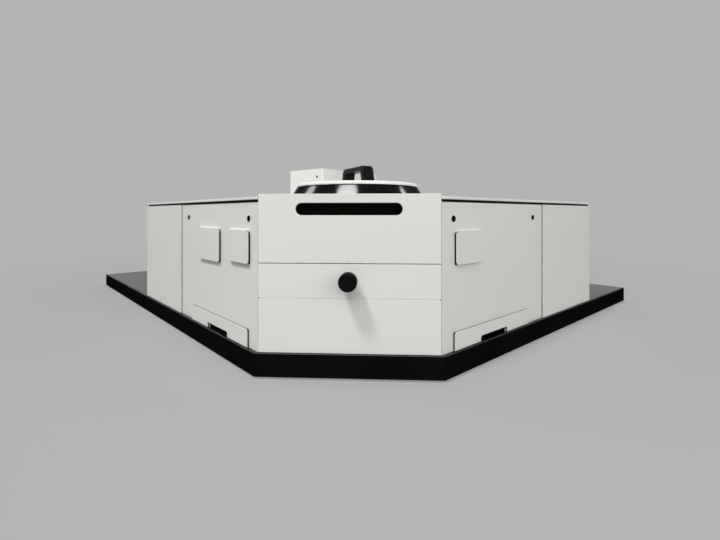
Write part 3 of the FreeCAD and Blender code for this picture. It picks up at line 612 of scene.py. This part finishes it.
def knob_pieces():
    radius, length = knob_radius, knob_length
    turned_piece("knob_body", [
        (knob_bore_radius, 0, 0), (radius - 1.5 * MM, 0, 0.8 * MM), (radius, 1.5 * MM, 1.0 * MM),
        (radius, length - 3.5 * MM, 2.4 * MM), (radius - 3.5 * MM, length, 2.4 * MM),
        (radius - 6 * MM, length, 0.6 * MM), (radius - 6.6 * MM, length - 0.8 * MM, 0.4 * MM),
        (0, length - 0.8 * MM, 0)],
        128, front_axis(knob_gap), False, "knob", knob_black)
    turned_piece("bush_body", [
        (bush_bore_radius, bush_head, 0.3 * MM), (bush_head_radius, bush_head, 0.5 * MM),
        (bush_head_radius, 0, 0), (bush_radius, 0, 0), (bush_radius, -bush_depth, 0.4 * MM),
        (bush_bore_radius, -bush_depth, 0.2 * MM), (bush_bore_radius, 0, 0)],
        96, front_axis(0), True, "knob_bush", bronze)


def facing(place, out):
    """Frame standing at a point of an upright face, its Z pointing out of it."""
    up = Vector((0, 0, 1))
    return Matrix.Translation(place) @ Matrix((up.cross(out), up, out)).transposed().to_4x4()


def tower_screw():
    """Button-head screw high on the tower's front face."""
    along = Vector((-math.cos(tower_turn), -math.sin(tower_turn), 0))
    out = Vector((math.sin(tower_turn), -math.cos(tower_turn), 0))
    place = tower_corner + along * screw_inset + Vector((0, 0, screw_height))
    head = lathe("tower_screw", [
        (0, 0.5 * MM, 0), (1.8 * MM, 0.5 * MM, 0), (1.8 * MM, 1.8 * MM, 0.15 * MM),
        (3.0 * MM, 1.7 * MM, 0.6 * MM), (screw_radius, 0, 0)], 36, facing(place, out), False)
    piece = new_piece("tower_screw", head, BODY_OF["tower_cover"], latch_black)
    shade_edges(piece)


def painted_seam_hole_shade():
    """Flat dark discs at both ends of the lower seam on the front: painted shade that stands for its small relief
    holes.
    """
    front = JOINT["knob_turn"]["pos_m"]
    out = Vector((1 / ROOT2, -1 / ROOT2, 0))
    across = Vector((1 / ROOT2, 1 / ROOT2, 0))
    for name, side in (("left_seam_painted_hole_shade", -1), ("right_seam_painted_hole_shade", 1)):
        place = Vector((front[0], front[1], seam_height)) + across * side * hole_shade_offset
        rim = [(0, hole_shade_thickness, 0), (hole_shade_radius - 0.1 * MM, hole_shade_thickness, 0), (hole_shade_radius, 0, 0)]
        spot = lathe(name, rim, 20, facing(place, out), False)
        # Each disc sits just proud of the face and paints a hole's shade.
        new_piece(name, spot, BODY_OF["front_lower_panel"], grip_black_and_hole_shade)


# Black strips in the gaps behind the flaps and the covers: painted shade, which shows as the dark line round the
# flaps and the covers where the gap's shadow falls

def painted_shade_frame(name, body, corner, along, out, size, depth, bottom):
    """Frame of black strip that paints the gap's shade: sides and top, with a bottom bar where asked, from its
    lower corner.
    """
    width, height = size
    strip = shade_strip_width
    work = bmesh.new()
    bars = [(0, strip, 0, height), (width - strip, width, 0, height),
            (strip, width - strip, height - strip, height)]
    if bottom:
        bars.append((strip, width - strip, 0, strip))
    axes = Matrix((along, out, Vector((0, 0, 1)))).transposed().to_4x4()
    for x0, x1, z0, z1 in bars:
        middle = corner + along * (x0 + x1) / 2 + out * (shade_strip_gap + depth) / 2 + Vector((0, 0, (z0 + z1) / 2))
        scale = Matrix.Diagonal((x1 - x0, depth - shade_strip_gap, z1 - z0, 1))
        bmesh.ops.create_cube(work, size=1.0, matrix=Matrix.Translation(middle) @ axes @ scale)
    mesh = bpy.data.meshes.new(name)
    work.to_mesh(mesh)
    work.free()
    # The black rubber finish on these strips paints the shade in the gap.
    piece = new_piece(name, mesh, body, rubber_and_gap_shade)
    shade_edges(piece)


def painted_gap_shade():
    """One frame of painted shade behind each flap, short of its hinge, and one behind each cover, open at the
    bottom.
    """
    for node in "left_flap_near left_flap_far right_flap left_access_cover right_access_cover".split():
        flap = "flap" in node
        offset = flap_offset if flap else cover_offset
        depth = flap_shade_strip_depth if flap else cover_shade_strip_depth
        top = shade_strip_below_hinge if flap else shade_strip_inset
        low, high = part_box(node)
        height = (high.z - low.z) - (shade_strip_inset + top)
        if node.startswith("left"):
            along, out = Vector((1, 0, 0)), Vector((0, -1, 0))
            corner = Vector((low.x + shade_strip_inset, low.y + offset, low.z + shade_strip_inset))
            width = high.x - low.x - 2 * shade_strip_inset
        else:
            along, out = Vector((0, 1, 0)), Vector((1, 0, 0))
            corner = Vector((high.x - offset, low.y + shade_strip_inset, low.z + shade_strip_inset))
            width = high.y - low.y - 2 * shade_strip_inset
        painted_shade_frame(node + "_painted_shade_strip", BODY_OF[node], corner, along, out, (width, height), depth, flap)


# Every other node keeps its shape, with rounded edges where they catch the light

SHEETS = """chamber_left_wall chamber_right_wall chamber_back_wall chamber_roof front_lower_panel
front_middle_panel front_cover left_side_panel right_side_panel left_far_panel right_far_panel
left_back_panel right_back_panel left_lid right_lid left_access_cover right_access_cover
left_flap_near left_flap_far right_flap tower_cover""".split()
SMALL = """left_flap_hinges right_flap_hinges lid_hinge_brackets left_lid_hinge_leaves
right_lid_hinge_leaves power_inlet sample_holder""".split()
LATCHES = "left_latch_near left_latch_far right_latch_near right_latch_far".split()
BLOCKS = """left_partition right_partition slit_units mirror_mounts lens_mounts left_grating_turret
right_grating_turret turret_drives light_source detector sample_stage""".split()


def dress_nodes():
    for node in SHEETS:
        softened(node, sheet_edge)
    for node in SMALL:
        softened(node, small_edge)
    for node in LATCHES:
        softened(node, small_edge, latch_black)
    for node in BLOCKS:
        softened(node, sheet_edge)
    softened("grip_recess", small_edge, grip_black_and_hole_shade)
    softened("base_pan", plate_edge, pan_black)
    softened("base_top", small_edge, plate_black)
    for node, material in (("left_gratings", grating), ("right_gratings", grating), ("mirrors", mirror)):
        softened(node, small_edge, material)
    for node in ("rubber_feet", "left_lid_gasket", "right_lid_gasket"):
        softened(node, small_edge)
    for node in ("lenses", "knob_shaft"):
        carried = frame["nodes"][node]
        carried.data.materials.clear()
        carried.data.materials.append(FINISH[SLOT_OF[node]])


# Studio

def sun(name, towards, level, angle, mirrored=True, lighting=True):
    """Distant lamp; level is the share of white that it gives a surface facing it.

    A lamp can be left out of reflections, or show in reflections alone.
    """
    lamp = bpy.data.lights.new(name, "SUN")
    lamp.energy = level * math.pi
    lamp.angle = math.radians(angle)
    holder = bpy.data.objects.new(name, lamp)
    holder.rotation_euler = Vector(towards).to_track_quat("Z", "Y").to_euler()
    holder.visible_glossy = mirrored
    holder.visible_diffuse = lighting
    bpy.context.scene.collection.objects.link(holder)


def panel_lamp(name, target, towards, distance, size, level):
    """Softbox aimed at a point; level is about the share of white that it gives a surface there."""
    lamp = bpy.data.lights.new(name, "AREA")
    lamp.shape = "RECTANGLE"
    lamp.size, lamp.size_y = size
    lamp.energy = level * (math.pi * distance) ** 2
    holder = bpy.data.objects.new(name, lamp)
    holder.location = target + towards * distance
    holder.rotation_euler = towards.to_track_quat("Z", "Y").to_euler()
    holder.visible_glossy = False
    bpy.context.scene.collection.objects.link(holder)


def looked_at(tree):
    """One where the camera looks, straight, by reflection or through glass, and nought for other light."""
    path = add(tree, "ShaderNodeLightPath")
    first = add(tree, "ShaderNodeMath", operation="MAXIMUM")
    both = add(tree, "ShaderNodeMath", operation="MAXIMUM")
    tree.links.new(path.outputs["Is Camera Ray"], first.inputs[0])
    tree.links.new(path.outputs["Is Glossy Ray"], first.inputs[1])
    tree.links.new(first.outputs["Value"], both.inputs[0])
    tree.links.new(path.outputs["Is Transmission Ray"], both.inputs[1])
    return both.outputs["Value"]


def studio_floor():
    material = bpy.data.materials.new("pale_floor")
    material.use_nodes = True
    tree = material.node_tree
    tree.nodes.clear()
    output = add(tree, "ShaderNodeOutputMaterial")
    lit = add(tree, "ShaderNodeBsdfDiffuse")
    tree.links.new(remap(tree, looked_at(tree), floor_bounce, floor_seen, 0.0, 1.0), lit.inputs["Color"])
    even = add(tree, "ShaderNodeEmission")
    even.inputs["Color"].default_value = (backdrop_level, backdrop_level, backdrop_level, 1)
    even.inputs["Strength"].default_value = 1.0
    length, place = distance_from(tree, (0, 0, 0))
    far = remap(tree, length, 0.55, 1.0, 1.1, 2.6)
    amount = add(tree, "ShaderNodeMath", operation="MULTIPLY")
    tree.links.new(looked_at(tree), amount.inputs[0])
    tree.links.new(far, amount.inputs[1])
    mix = add(tree, "ShaderNodeMixShader")
    tree.links.new(amount.outputs["Value"], mix.inputs["Fac"])
    tree.links.new(lit.outputs["BSDF"], mix.inputs[1])
    tree.links.new(even.outputs["Emission"], mix.inputs[2])
    tree.links.new(mix.outputs["Shader"], output.inputs["Surface"])
    mesh = bpy.data.meshes.new("floor")
    half = 60.0
    corners = [(-half, -half, 0), (half, -half, 0), (half, half, 0), (-half, half, 0)]
    mesh.from_pydata(corners, [], [[0, 1, 2, 3]])
    mesh.materials.append(material)
    floor = bpy.data.objects.new("floor", mesh)
    bpy.context.scene.collection.objects.link(floor)


def studio_world():
    world = bpy.data.worlds.new("studio")
    world.use_nodes = True
    tree = world.node_tree
    background = tree.nodes["Background"]
    background.inputs["Color"].default_value = (1, 1, 1, 1)
    source = add(tree, "ShaderNodeTexCoord")
    split = add(tree, "ShaderNodeSeparateXYZ")
    tree.links.new(source.outputs["Generated"], split.inputs["Vector"])
    backdrop = remap(tree, split.outputs["Z"], backdrop_level, overhead_level, 0.50, 0.80)
    level = add(tree, "ShaderNodeMix", data_type="FLOAT")
    level.inputs["A"].default_value = world_level
    tree.links.new(backdrop, level.inputs["B"])
    tree.links.new(looked_at(tree), level.inputs["Factor"])
    tree.links.new(level.outputs["Result"], background.inputs["Strength"])
    bpy.context.scene.world = world


def studio_camera():
    data = bpy.data.cameras.new("camera")
    data.sensor_width = 36.0
    data.lens = camera_lens
    data.shift_y = camera_shift
    data.clip_end = 200.0
    camera = bpy.data.objects.new("camera", data)
    camera.location = camera_place
    camera.rotation_euler = (math.radians(90), 0, camera_turn)
    bpy.context.scene.collection.objects.link(camera)
    bpy.context.scene.camera = camera


def towards(azimuth, height):
    """Direction of a lamp, by degrees to the right of the camera's side and degrees above level."""
    forward = Vector((-math.sin(camera_turn), math.cos(camera_turn), 0))
    right = Vector((math.cos(camera_turn), math.sin(camera_turn), 0))
    flat = right * math.sin(math.radians(azimuth)) - forward * math.cos(math.radians(azimuth))
    return flat * math.cos(math.radians(height)) + Vector((0, 0, math.sin(math.radians(height))))


def studio_lights():
    front = Vector(JOINT["knob_turn"]["pos_m"])
    sun("high_softbox", towards(-29, 63.5), 0.50, 25, lighting=False)
    sun("left_key", towards(-52, 63), 0.64, 9, mirrored=False)
    panel_lamp("broad_softbox", front, towards(-8, 42), 3.2, (3.0, 2.4), 0.50)
    sun("right_fill", towards(56, 12), 0.45, 60, mirrored=False)
    sun("back_fill", towards(150, 14), 0.19, 50, mirrored=False)
    sun("left_strip", towards(-113, 38), 0.12, 14)
    sun("right_strip", towards(109.5, 40), 0.048, 7)


port_pieces()
bridge_handle()
knob_pieces()
tower_screw()
painted_seam_hole_shade()
painted_gap_shade()
dress_nodes()
studio_floor()
studio_world()
studio_camera()
studio_lights()
bpy.context.scene.view_settings.view_transform = "Standard"
